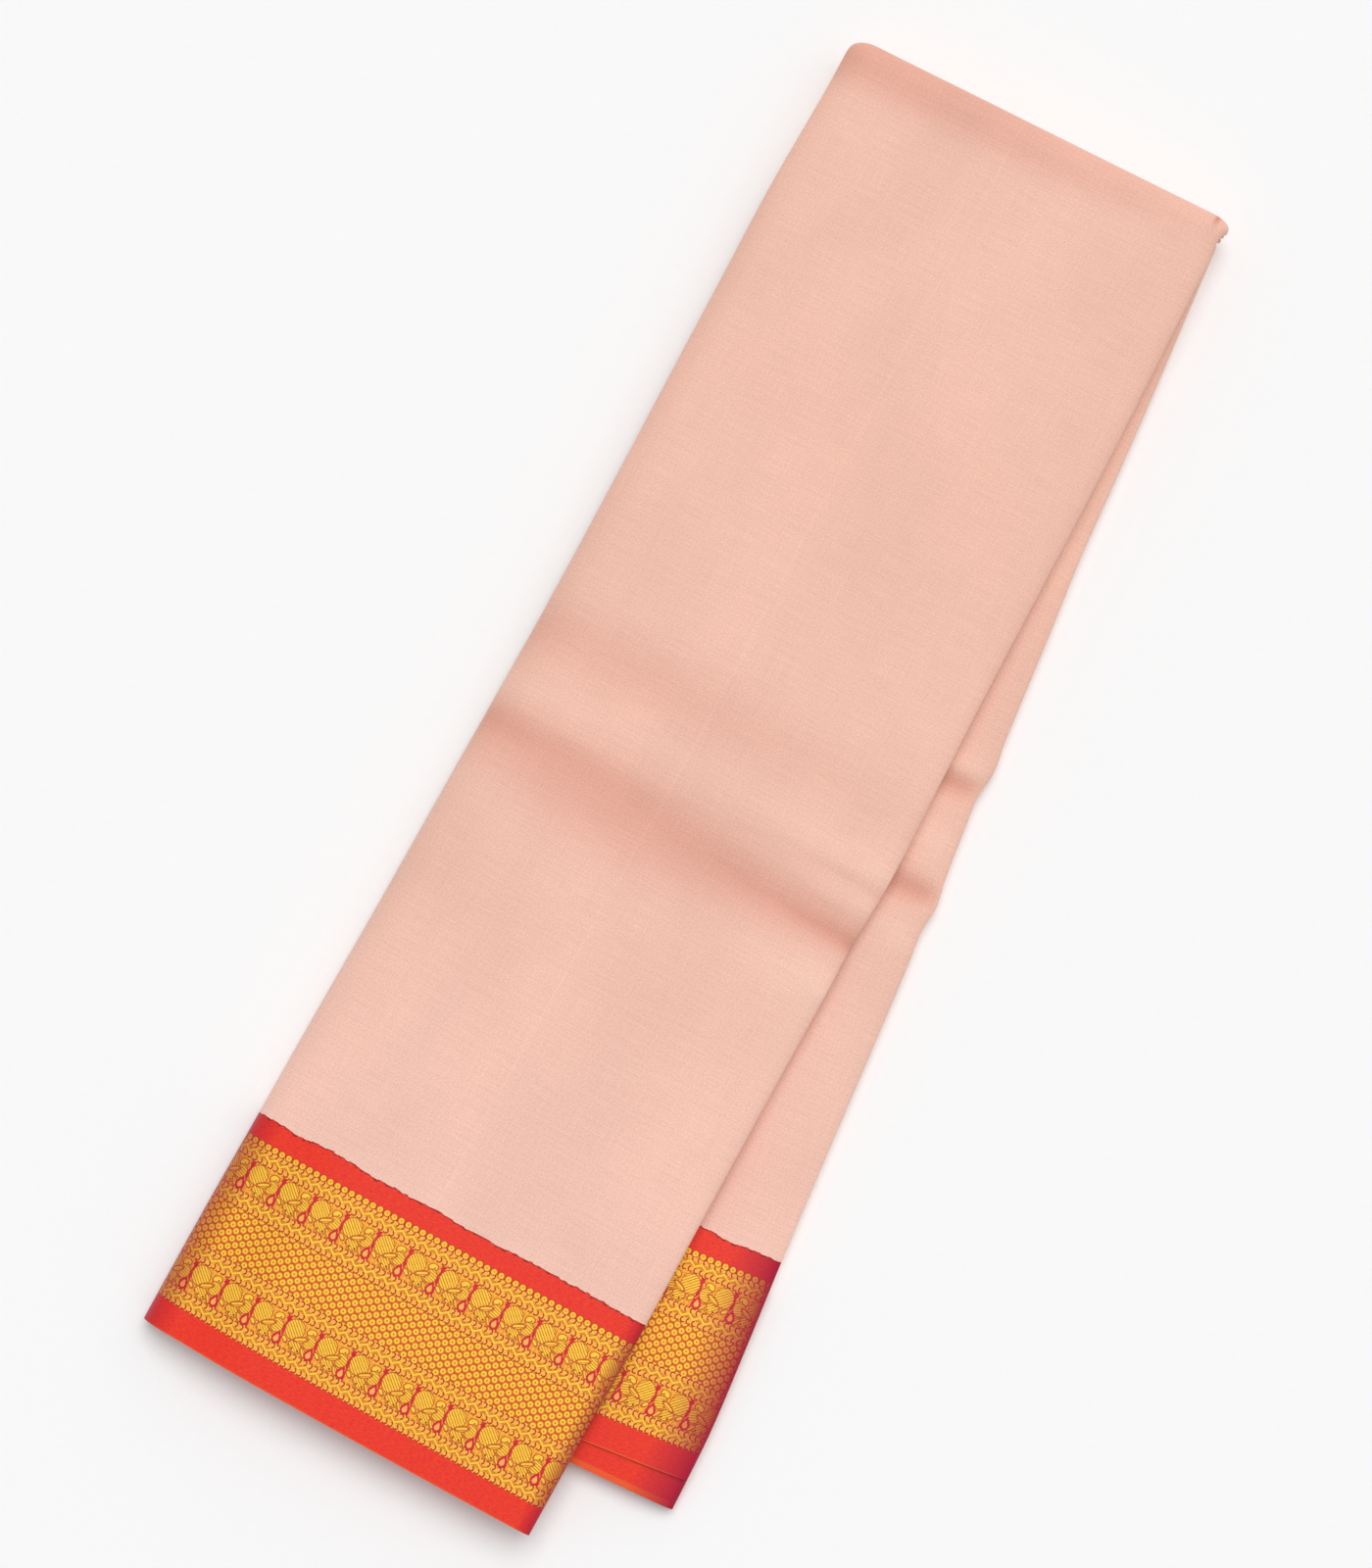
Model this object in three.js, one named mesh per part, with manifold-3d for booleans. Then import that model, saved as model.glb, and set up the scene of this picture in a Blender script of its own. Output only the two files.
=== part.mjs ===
// A silk saree with woven zari borders, folded lengthwise into a stack of layers, folded in half
// across its width and laid flat, with its back half fanned out to the right. Millimetres, +Z up.
// The strip runs along +Y, from the front hem at -Y to the top fold at +Y, and rests on Z = 0.
// Across and up are measured on the strip, from the left end of the front hem.
import * as THREE from 'three';
import { mergeVertices } from 'three/addons/utils/BufferGeometryUtils.js';
import Module from 'manifold-3d';

// Driving sizes
const FLAP_HEIGHT = 10;
const PARTING = 0.6;
const WALL = 1;
const SEAM = 0.3;
const LAYER_GAP = 0.45;
const TOP_FOLD_UP = 594;
const TOP_FOLD_RISE = 2.4;
const FLAP_WIDTH = 177;
const BORDER_TOP = 92.4;
const BACK_HEM = 46.6;
const BACK_LOWER_HEM = 34;
const BACK_HEM_OVERLAP = 27;
const BACK_BORDER_TOP = 138.6;
const FAN_START = 520;
const CENTRE_ACROSS = 109.18;
const CENTRE_UP = 302.71;

// Outline of the front half: its left and right edge at each height up the strip
const FRONT_EDGES = [
  { up: 0, left: -0.9, right: 174.4 },
  { up: 48, left: -1, right: 175.1 },
  { up: 93, left: -0.6, right: 176.1 },
  { up: 140, left: -0.2, right: 176.3 },
  { up: 187, left: 0.5, right: 176.7 },
  { up: 234, left: 0.9, right: 177.3 },
  { up: 264, left: 1.1, right: 177.5 },
  { up: 292, left: 1.4, right: 178.8 },
  { up: 330, left: 1.7, right: 178.2 },
  { up: 379, left: 1.2, right: 177.3 },
  { up: 428, left: 0.4, right: 177 },
  { up: 487, left: -0.6, right: 176.5 },
  { up: 528, left: -1.2, right: 175.6 },
  { up: 579, left: -0.4, right: 174.6 },
  { up: 594, left: -0.6, right: 174.4 },
];

// Outline of the fanned back half: its right edge, and the slope of its rows across the strip
const BACK_EDGES = [
  { up: 34, right: 219.4, slope: 0.062 },
  { up: 46.6, right: 219.2, slope: 0.125 },
  { up: 70, right: 218.4, slope: 0.1 },
  { up: 105, right: 215.3, slope: 0.092 },
  { up: 138.6, right: 212, slope: 0.088 },
  { up: 187, right: 207.8, slope: 0.082 },
  { up: 234, right: 204, slope: 0.08 },
  { up: 270, right: 200.9, slope: 0.079 },
  { up: 283, right: 199.5, slope: 0.078 },
  { up: 295, right: 200.2, slope: 0.077 },
  { up: 306, right: 198.2, slope: 0.076 },
  { up: 330, right: 195.3, slope: 0.074 },
  { up: 342, right: 194.1, slope: 0.073 },
  { up: 355, right: 195.2, slope: 0.072 },
  { up: 368, right: 193.4, slope: 0.071 },
  { up: 415, right: 189, slope: 0.066 },
  { up: 452, right: 185.3, slope: 0.06 },
  { up: 490, right: 182.8, slope: 0.052 },
  { up: 528, right: 180, slope: 0.041 },
  { up: 566, right: 176.8, slope: 0.026 },
  { up: 594, right: 174.4, slope: 0.0137 },
];

// Creases pressed into the folded cloth: where each one meets the left and right edge, its depth
// at the left, middle and right, and its half width. A negative depth is a ridge.
const FRONT_CREASES = [
  { left: 282, right: 264, leftDepth: 1.6, midDepth: 1.2, rightDepth: 2.2, reach: 9 },
  { left: 301, right: 283, leftDepth: -0.5, midDepth: -0.4, rightDepth: -0.7, reach: 9 },
  { left: 322, right: 303, leftDepth: 0.7, midDepth: 0.6, rightDepth: 1.1, reach: 10 },
  { left: 205, right: 214, leftDepth: 0.3, midDepth: 0.2, rightDepth: 0.1, reach: 28 },
  { left: 455, right: 440, leftDepth: 0.1, midDepth: 0.3, rightDepth: 0.2, reach: 40 },
];
const BACK_CREASES = [
  { left: 268, right: 283, leftDepth: 0.4, midDepth: 0.8, rightDepth: 1.8, reach: 7 },
  { left: 330, right: 342, leftDepth: 0.4, midDepth: 0.8, rightDepth: 2, reach: 8 },
  { left: 150, right: 168, leftDepth: 0.2, midDepth: 0.3, rightDepth: 0.4, reach: 24 },
];
const FRONT_CREASES_FADE = { from: 1, to: 7 };
const BACK_CREASES_FADE = { from: 6, to: 10 };

// Side folds in section: how far in each rounds over the top and tucks under, the height of its
// nose, and the lowest height that the outer layer reaches round it
const FRONT_FOLDS = {
  left: { round: 13, tuck: 3, nose: 3.6, reach: 0.9 },
  right: { round: 6.5, tuck: 1.6, nose: 6.6, reach: 5 },
};
const UNDER_FOLDS = {
  left: { round: 5, tuck: 1.6, nose: 5.6, reach: 4.9 },
  right: { round: 5, tuck: 1.6, nose: 5.6, reach: 4.9 },
};
const BACK_FOLDS = {
  left: { round: 7, tuck: 1.6, nose: 6, reach: 5.6 },
  right: { round: 15, tuck: 1.6, nose: 6, reach: 5.6 },
};

// Layers that show under the front half's right fold: how far in and how high each one's nose
// and the hollow below it lie
const RIGHT_LAYERS = [
  { inset: 2, height: 4.6 },
  { inset: 0.5, height: 3.5 },
  { inset: 1.9, height: 2.4 },
  { inset: 0.7, height: 1.3 },
  { inset: 2.6, height: 0 },
];
const LEFT_LAYER_TUCK = 5;

// Grooves between the layers at the hem ends, by height in the stack
const HEM_GROOVES = [2.4, 4.4, 6.4];
const HEM_GROOVE_DEPTH = 1.8;
const HEM_GROOVE_MOUTH = 0.8;
const HEM_GROOVE_ROOT = 0.2;
const HEM_RECESS = 0.6;

// Overhang of the front half: its lower layers sag past the back half's left edge to the surface,
// and the stack loosens there, so that its top sinks less
const SAG_LOOSENING = 0.6;
const SAG_START = 37;
const SAG_SPAN = 41;
const SAG_LEVEL_FROM = 480;
const SAG_LEVEL_SPAN = 100;
const SAG_LEVEL_SHIFT = 12;

// Steps of the lofts. The columns between the side folds are parts of the way across, closer
// together where the front half sags.
const ROUND_STEPS = 5;
const TURN_STEPS = 8;
const FRONT_COLUMNS = [0.06, 0.12, 0.18, 0.25, 0.34, 0.52, 0.76];
const BACK_COLUMNS = [0.2, 0.4, 0.6, 0.8];
const ROW_STEP = 27;
const CREASED_FROM = 250;
const CREASED_TO = 368;
const CREASED_STEP = 6.5;

const peach = new THREE.MeshStandardMaterial({ color: '#f2bfac', roughness: 0.55, metalness: 0 });
const gold = new THREE.MeshStandardMaterial({ color: '#f0a030', roughness: 0.45, metalness: 0.2 });
const red = new THREE.MeshStandardMaterial({ color: '#ee3a33', roughness: 0.5, metalness: 0 });
const layered = new THREE.MeshStandardMaterial({ color: '#e9a892', roughness: 0.6, metalness: 0 });

const wasm = await Module();
wasm.setup();

const mix = (from, to, part) => from + (to - from) * part;

const ease = (value) => {
  const part = Math.min(1, Math.max(0, value));
  return part * part * (3 - 2 * part);
};

// A table's column at a height up the strip, on a smooth curve through its rows
function column(table, name, up) {
  const last = table.length - 1;
  if (up <= table[0].up) return table[0][name];
  if (up >= table[last].up) return table[last][name];
  const next = table.findIndex((row) => row.up > up);
  const low = table[next - 1];
  const high = table[next];
  const before = table[Math.max(0, next - 2)];
  const after = table[Math.min(last, next + 1)];
  const span = high.up - low.up;
  const part = (up - low.up) / span;
  const slopeLow = ((high[name] - before[name]) / (high.up - before.up)) * span;
  const slopeHigh = ((after[name] - low[name]) / (after.up - low.up)) * span;
  const square = part * part;
  const cube = square * part;
  return (
    (2 * cube - 3 * square + 1) * low[name] +
    (cube - 2 * square + part) * slopeLow +
    (3 * square - 2 * cube) * high[name] +
    (cube - square) * slopeHigh
  );
}

// A row across the front half: its two ends on the strip
function frontRow(up) {
  const rise = (TOP_FOLD_RISE / 2) * ease(up / TOP_FOLD_UP);
  return {
    left: new THREE.Vector2(column(FRONT_EDGES, 'left', up), up - rise),
    right: new THREE.Vector2(column(FRONT_EDGES, 'right', up), up + rise),
  };
}

// A row across the back half, which leans with the fan; up is measured at its right end
function backRow(up) {
  const level = ease((up - FAN_START) / (TOP_FOLD_UP - FAN_START));
  const right = column(BACK_EDGES, 'right', up);
  const left = mix(right - FLAP_WIDTH, column(FRONT_EDGES, 'left', up), level);
  const rightUp = up + (TOP_FOLD_RISE / 2) * level;
  const leftUp = rightUp - column(BACK_EDGES, 'slope', up) * (right - left);
  return { left: new THREE.Vector2(left, leftUp), right: new THREE.Vector2(right, rightUp) };
}

// Depth of the creases at a part of the way across and a height up, full at the top of the stack
// and faded out below
function creaseDepth(creases, fade, part, up, height) {
  const side = (2 * part - 1) ** 2;
  const strength = ease((height - fade.from) / (fade.to - fade.from));
  const depth = creases.reduce((sum, crease) => {
    const end = part < 0.5 ? crease.leftDepth : crease.rightDepth;
    const distance = (up - mix(crease.left, crease.right, part)) / crease.reach;
    return sum + mix(crease.midDepth, end, side) * Math.exp(-distance * distance);
  }, 0);
  return depth * strength;
}

// Height of the front half's underside, over the back half and down to the surface past it
function frontBase(across, up) {
  const levelling = SAG_LEVEL_SHIFT * ease((up - SAG_LEVEL_FROM) / SAG_LEVEL_SPAN);
  const beyond = across - backRow(up).left.x + levelling;
  return (FLAP_HEIGHT + PARTING) * ease((beyond + SAG_START) / SAG_SPAN);
}

// Places a point of the section on a row: its distance from the left end and height in the stack
const placeFront = (up) => (distance, height) => {
  const row = frontRow(up);
  const part = distance / (row.right.x - row.left.x);
  const spot = row.left.clone().lerp(row.right, part);
  const crease = creaseDepth(FRONT_CREASES, FRONT_CREASES_FADE, part, spot.y, height);
  const base = frontBase(spot.x, spot.y);
  const loosening = 1 + SAG_LOOSENING * (1 - base / (FLAP_HEIGHT + PARTING));
  return new THREE.Vector3(spot.x, spot.y, base + height * loosening - crease);
};
const placeBack = (up) => (distance, height) => {
  const row = backRow(up);
  const part = distance / (row.right.x - row.left.x);
  const spot = row.left.clone().lerp(row.right, part);
  const crease = creaseDepth(BACK_CREASES, BACK_CREASES_FADE, part, spot.y, height);
  return new THREE.Vector3(spot.x, spot.y, height - crease);
};
const placeUnder = (up) => (distance, height) => {
  const row = backRow(up);
  const spot = row.left.clone().lerp(row.right, distance / (row.right.x - row.left.x));
  return new THREE.Vector3(spot.x, spot.y, FLAP_HEIGHT - height);
};
const placeTurn = (angle) => (distance, height) => {
  const row = frontRow(TOP_FOLD_UP);
  const spot = row.left.clone().lerp(row.right, distance / (row.right.x - row.left.x));
  const radius = height + PARTING / 2;
  const centre = FLAP_HEIGHT + PARTING / 2;
  return new THREE.Vector3(
    spot.x,
    spot.y + radius * Math.sin(angle),
    centre + radius * Math.cos(angle),
  );
};

const rowWidth = (row) => row.right.x - row.left.x;

// Blend of two pairs of side folds
function mixFolds(from, to, part) {
  const side = (name) => Object.fromEntries(
    Object.keys(from[name]).map((key) => [key, mix(from[name][key], to[name][key], part)]),
  );
  return { left: side('left'), right: side('right') };
}

// Quarter of a side fold, from its lowest reach round the nose to the top
function foldQuarter(fold) {
  const lowest = -Math.asin(1 - fold.reach / fold.nose);
  return Array.from({ length: ROUND_STEPS + 1 }, (_, step) => {
    const angle = mix(lowest, Math.PI / 2, step / ROUND_STEPS);
    const width = angle < 0 ? fold.tuck : fold.round;
    const rise = angle < 0 ? fold.nose : FLAP_HEIGHT - fold.nose;
    return new THREE.Vector2(width * (1 - Math.cos(angle)), fold.nose + rise * Math.sin(angle));
  });
}

// Outer line of a stack in section, from the left reach over the top to the right reach
function stackLine(folds, width, columns) {
  const left = foldQuarter(folds.left);
  const right = foldQuarter(folds.right)
    .reverse()
    .map((point) => new THREE.Vector2(width - point.x, point.y));
  const middle = columns.map((part) => new THREE.Vector2(
    mix(folds.left.round, width - folds.right.round, part),
    FLAP_HEIGHT,
  ));
  return [...left, ...middle, ...right];
}

// The same line moved in by a distance, square to itself and level at its two ends
function movedIn(line, distance) {
  const last = line.length - 1;
  return line.map((point, index) => {
    const along = new THREE.Vector2(0, index === 0 ? 1 : -1);
    if (index > 0 && index < last) along.copy(line[index + 1]).sub(line[index - 1]).normalize();
    return new THREE.Vector2(point.x + along.y * distance, point.y - along.x * distance);
  });
}

// Triangles over the end of a section, from each corner on the way out along its outline to the
// one facing it on the way back
function facingEnd(corners) {
  return Array.from({ length: corners.length / 2 - 1 }, (_, near) => {
    const far = corners.length - 1 - near;
    return [[near, near + 1, far - 1], [near, far - 1, far]];
  }).flat();
}

// Triangles over the end of a section whose corners don't face each other, turning the same way
// round as its outline
function ringEnd(corners) {
  const facing = new THREE.Vector3();
  corners.forEach((corner, index) => {
    facing.add(corner.clone().cross(corners[(index + 1) % corners.length]));
  });
  const level = new THREE.Quaternion();
  level.setFromUnitVectors(facing.normalize(), new THREE.Vector3(0, 0, 1));
  const ring = corners.map((corner) => {
    const flat = corner.clone().applyQuaternion(level);
    return new THREE.Vector2(flat.x, flat.y);
  });
  const faces = THREE.ShapeUtils.triangulateShape(ring, []);
  const turning = faces.reduce((sum, face) => (
    sum + THREE.ShapeUtils.area(face.map((index) => ring[index]))
  ), 0);
  return turning > 0 ? faces : faces.map(([a, b, c]) => [a, c, b]);
}

// Closed mesh through sections of equal size, with its two ends capped. Every four-sided face is
// split the same way seen from above, so that layers over each other keep their gap.
function loft(sections, endFaces = facingEnd) {
  const size = sections[0].outline.length;
  const rings = sections.map((section) => section.outline.map(
    (point) => section.place(point.x, point.y),
  ));
  const positions = rings.flat().flatMap((corner) => corner.toArray());
  const faces = [];
  for (let section = 0; section < sections.length - 1; section += 1) {
    for (let point = 0; point < size; point += 1) {
      const after = (point + 1) % size;
      const near = section * size + point;
      const next = section * size + after;
      const { outline } = sections[section];
      if (outline[after].x > outline[point].x) {
        faces.push(near, next, next + size, near, next + size, near + size);
      } else {
        faces.push(near, next, near + size, next, next + size, near + size);
      }
    }
  }
  const last = (sections.length - 1) * size;
  for (const [a, b, c] of endFaces(rings[0])) faces.push(a, c, b);
  for (const [a, b, c] of endFaces(rings.at(-1))) faces.push(last + a, last + b, last + c);
  return facingOut(positions, faces);
}

// Geometry whose faces point out of the closed body
function facingOut(positions, faces) {
  const corner = (index) => new THREE.Vector3().fromArray(positions, faces[index] * 3);
  let volume = 0;
  for (let face = 0; face < faces.length; face += 3) {
    volume += corner(face).dot(corner(face + 1).cross(corner(face + 2)));
  }
  if (volume < 0) faces.reverse();
  const geometry = new THREE.BufferGeometry();
  geometry.setAttribute('position', new THREE.Float32BufferAttribute(positions, 3));
  geometry.setIndex(faces);
  return geometry;
}

// Section of the outer layer, a wall that follows the stack's line
function wallSection(place, folds, width, columns, depth = 0) {
  const line = stackLine(folds, width, columns);
  const outer = movedIn(line, depth);
  const inner = movedIn(line, depth + WALL).reverse();
  return { place, outline: [...outer, ...inner] };
}

// Section of the layers inside the front half, with their noses at the right under the outer layer
function frontLayersSection(place, folds, width) {
  const top = movedIn(stackLine(folds, width, FRONT_COLUMNS), WALL + LAYER_GAP);
  const right = RIGHT_LAYERS.map((layer) => new THREE.Vector2(width - layer.inset, layer.height));
  const bottom = [0, ...FRONT_COLUMNS].reverse().map((part) => new THREE.Vector2(
    mix(LEFT_LAYER_TUCK, right.at(-1).x, part),
    0,
  ));
  return { place, outline: [...top, ...right, ...bottom] };
}

// Section of the layers inside the back half, between its top and bottom layers
function backLayersSection(place, width, depth) {
  const top = movedIn(stackLine(BACK_FOLDS, width, BACK_COLUMNS), depth);
  const bottom = movedIn(stackLine(UNDER_FOLDS, width, BACK_COLUMNS), WALL + LAYER_GAP)
    .map((point) => new THREE.Vector2(point.x, FLAP_HEIGHT - point.y))
    .reverse();
  return { place, outline: [...top, ...bottom] };
}

// Heights up the strip at which the stretches have their sections, closer over the creases
const spaced = (from, to, step) => {
  const count = Math.round((to - from) / step);
  return Array.from({ length: count }, (_, index) => mix(from, to, index / count));
};
const ROWS = [
  BACK_HEM,
  BACK_LOWER_HEM + BACK_HEM_OVERLAP,
  ...spaced(BORDER_TOP, CREASED_FROM, ROW_STEP),
  ...spaced(CREASED_FROM, CREASED_TO, CREASED_STEP),
  ...spaced(CREASED_TO, TOP_FOLD_UP, ROW_STEP),
];
const rowsBetween = (from, to) => [from, ...ROWS.filter((up) => up > from + 1 && up < to - 1), to];

const frontWidth = (up) => rowWidth(frontRow(up));
const backWidth = (up) => rowWidth(backRow(up));
const frontWall = (up) => wallSection(placeFront(up), FRONT_FOLDS, frontWidth(up), FRONT_COLUMNS);
const backWall = (up) => wallSection(placeBack(up), BACK_FOLDS, backWidth(up), BACK_COLUMNS);
const underWall = (up) => wallSection(placeUnder(up), UNDER_FOLDS, backWidth(up), BACK_COLUMNS);
const TURN_ANGLES = Array.from(
  { length: TURN_STEPS + 1 },
  (_, step) => (Math.PI * step) / TURN_STEPS,
);

// Peach stretch of the front, which turns over the top fold to the underside
function frontPanel() {
  const rows = rowsBetween(BORDER_TOP + SEAM / 2, TOP_FOLD_UP).slice(0, -1).map(frontWall);
  const turn = TURN_ANGLES.map((angle) => wallSection(
    placeTurn(angle),
    mixFolds(FRONT_FOLDS, UNDER_FOLDS, angle / Math.PI),
    frontWidth(TOP_FOLD_UP),
    FRONT_COLUMNS,
  ));
  return loft([...rows, ...turn]);
}

function frontBorder() {
  return loft(rowsBetween(0, BORDER_TOP - SEAM / 2).map(frontWall));
}

function backPanel() {
  return loft(rowsBetween(BACK_BORDER_TOP + SEAM / 2, TOP_FOLD_UP - SEAM).map(backWall));
}

function backBorder() {
  return loft(rowsBetween(BACK_HEM, BACK_BORDER_TOP - SEAM / 2).map(backWall));
}

// The next layer of the back half, whose hem shows below the top one's
function backLowerHem() {
  const rows = rowsBetween(BACK_LOWER_HEM, BACK_LOWER_HEM + BACK_HEM_OVERLAP);
  return loft(rows.map(
    (up) => wallSection(placeBack(up), BACK_FOLDS, backWidth(up), BACK_COLUMNS, WALL + SEAM),
  ));
}

function underPanel() {
  return loft(rowsBetween(BACK_BORDER_TOP + SEAM / 2, TOP_FOLD_UP - SEAM).map(underWall));
}

function underBorder() {
  return loft(rowsBetween(BACK_LOWER_HEM, BACK_BORDER_TOP - SEAM / 2).map(underWall));
}

// A closed solid for adding and cutting
function solid(geometry) {
  const merged = mergeVertices(geometry);
  return new wasm.Manifold(new wasm.Mesh({
    numProp: 3,
    vertProperties: merged.attributes.position.array,
    triVerts: new Uint32Array(merged.index.array),
  }));
}

// Cuts the grooves between the layers into the hem end of a stack
function partedAtHem(geometry, place, hem, width) {
  const grooves = HEM_GROOVES.map((height) => {
    const outline = [
      new THREE.Vector2(hem - HEM_RECESS, height - HEM_GROOVE_MOUTH / 2),
      new THREE.Vector2(hem + HEM_GROOVE_DEPTH, height - HEM_GROOVE_ROOT / 2),
      new THREE.Vector2(hem + HEM_GROOVE_DEPTH, height + HEM_GROOVE_ROOT / 2),
      new THREE.Vector2(hem - HEM_RECESS, height + HEM_GROOVE_MOUTH / 2),
    ];
    const sections = [0, ...FRONT_COLUMNS, 1].map((part) => ({
      outline,
      place: (up, level) => place(up)(mix(-WALL, width + WALL, part), level),
    }));
    return solid(loft(sections));
  });
  const parted = grooves.reduce((body, groove) => body.subtract(groove), solid(geometry));
  const mesh = parted.getMesh();
  const result = new THREE.BufferGeometry();
  result.setAttribute('position', new THREE.BufferAttribute(mesh.vertProperties, 3));
  result.setIndex([...mesh.triVerts]);
  return result;
}

// The layers inside the front half, in one rounded solid that turns round the top fold
function frontLayers() {
  const hem = HEM_RECESS;
  const rows = rowsBetween(hem, TOP_FOLD_UP).slice(0, -1).map(
    (up) => frontLayersSection(placeFront(up), FRONT_FOLDS, frontWidth(up)),
  );
  const turn = TURN_ANGLES.map((angle) => frontLayersSection(
    placeTurn(angle),
    mixFolds(FRONT_FOLDS, UNDER_FOLDS, angle / Math.PI),
    frontWidth(TOP_FOLD_UP),
  ));
  const layers = loft([...rows, ...turn], ringEnd);
  return partedAtHem(layers, placeFront, hem, frontWidth(0));
}

// The layers inside the back half, lower by one layer where the lower hem lies on them
function backLayers() {
  const hem = BACK_LOWER_HEM + HEM_RECESS;
  const step = BACK_LOWER_HEM + BACK_HEM_OVERLAP + SEAM;
  const section = (up, depth) => backLayersSection(placeBack(up), backWidth(up), depth);
  const low = rowsBetween(hem, step).map((up) => section(up, 2 * (WALL + LAYER_GAP)));
  const full = rowsBetween(step + WALL, TOP_FOLD_UP - SEAM).map(
    (up) => section(up, WALL + LAYER_GAP),
  );
  return partedAtHem(loft([...low, ...full]), placeBack, hem, backWidth(hem));
}

const pieces = [
  ['front_panel', frontPanel(), peach],
  ['front_border', frontBorder(), gold],
  ['front_layers', frontLayers(), layered],
  ['back_panel', backPanel(), peach],
  ['back_border', backBorder(), gold],
  ['back_lower_hem', backLowerHem(), red],
  ['back_layers', backLayers(), layered],
  ['under_panel', underPanel(), peach],
  ['under_border', underBorder(), gold],
];

const saree = new THREE.Group();
for (const [name, geometry, material] of pieces) {
  const mesh = new THREE.Mesh(geometry, material);
  mesh.name = name;
  saree.add(mesh);
}
saree.position.set(-CENTRE_ACROSS, -CENTRE_UP, 0);

export default saree;
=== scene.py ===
import math

import bmesh
import bpy
from mathutils import Matrix, Vector, noise


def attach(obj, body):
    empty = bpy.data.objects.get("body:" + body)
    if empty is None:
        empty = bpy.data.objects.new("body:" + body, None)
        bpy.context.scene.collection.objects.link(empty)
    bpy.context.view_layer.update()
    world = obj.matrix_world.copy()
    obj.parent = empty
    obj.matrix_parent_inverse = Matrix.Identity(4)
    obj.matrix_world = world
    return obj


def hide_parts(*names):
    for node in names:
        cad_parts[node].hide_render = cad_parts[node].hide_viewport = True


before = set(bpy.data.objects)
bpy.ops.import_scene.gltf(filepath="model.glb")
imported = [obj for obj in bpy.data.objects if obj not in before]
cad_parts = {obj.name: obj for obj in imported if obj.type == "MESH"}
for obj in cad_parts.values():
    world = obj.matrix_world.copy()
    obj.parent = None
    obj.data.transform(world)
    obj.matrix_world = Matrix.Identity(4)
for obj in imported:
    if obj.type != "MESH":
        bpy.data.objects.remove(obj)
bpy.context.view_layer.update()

MM = 0.001

# The two halves: each one's height, the parting between them and the fold that joins them, which
# rises to the right
FLAP_HEIGHT = 10
PARTING = 0.6
TOP_FOLD_UP = 594
TOP_FOLD_RISE = 2.4
FLAP_WIDTH = 177

# Heights up the strip of the hems and of the borders' tops, and where the back half starts to fan
BORDER_TOP = 92.4
BACK_HEM = 46.6
BACK_LOWER_HEM = 34
BACK_HEM_OVERLAP = 27
BACK_BORDER_TOP = 138.6
FAN_START = 520

# The middle of the folded saree on the strip, which is the frame's origin
CENTRE_ACROSS = 109.18
CENTRE_UP = 302.71

# Cloth as drawn: its thickness, how far under the top layer the next one lies, how much of that it
# keeps at the side folds, how far up the weave the border's silk reaches, and how close two points
# are that join where a loop closes
CLOTH = 0.4
LAYER = 1.3
SIDE_PACKING = 0.4
JOIN_REACH = BORDER_TOP + 1.5
CLOSE = 0.01

# Hems: how much of the lower one is turned under, and how far the front one bows out
HEM_TURNED = 2
HEM_BOW = 0.6
HEM_BOW_REACH = 90


def table(columns, *rows):
    """Rows with named columns."""
    return [dict(zip(columns.split(), row)) for row in rows]


# Outline of the front half: its left and right edge at each height up the strip
FRONT_EDGES = table(
    "up left right",
    (0, -0.9, 174.4),
    (48, -1, 175.1),
    (93, -0.6, 176.1),
    (140, -0.2, 176.3),
    (187, 0.5, 176.7),
    (234, 0.9, 177.3),
    (264, 1.1, 177.5),
    (292, 1.4, 178.8),
    (330, 1.7, 178.2),
    (379, 1.2, 177.3),
    (428, 0.4, 177),
    (487, -0.6, 176.5),
    (528, -1.2, 175.6),
    (579, -0.4, 174.4),
    (594, -0.6, 173.6),
)

# Outline of the fanned back half: its right edge, and the slope of its rows across the strip
BACK_EDGES = table(
    "up right slope",
    (34, 219.4, 0.128),
    (46.6, 219.2, 0.125),
    (70, 218.4, 0.1),
    (105, 215.3, 0.092),
    (138.6, 212, 0.088),
    (187, 207.8, 0.082),
    (234, 204, 0.08),
    (270, 200.9, 0.079),
    (283, 199.5, 0.078),
    (295, 200.2, 0.077),
    (306, 198.2, 0.076),
    (330, 195.3, 0.074),
    (342, 194.1, 0.073),
    (355, 195.2, 0.072),
    (368, 193.4, 0.071),
    (415, 189, 0.066),
    (452, 185.3, 0.06),
    (490, 182.8, 0.052),
    (528, 180, 0.041),
    (566, 176.8, 0.026),
    (594, 174.4, 0.0137),
)

# Slope of the rows below the top layer, whose hems lie less far askew
LOWER_ROWS = table("up slope", (34, 0.062), (70, 0.074), (105, 0.083), (138.6, 0.088))

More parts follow.
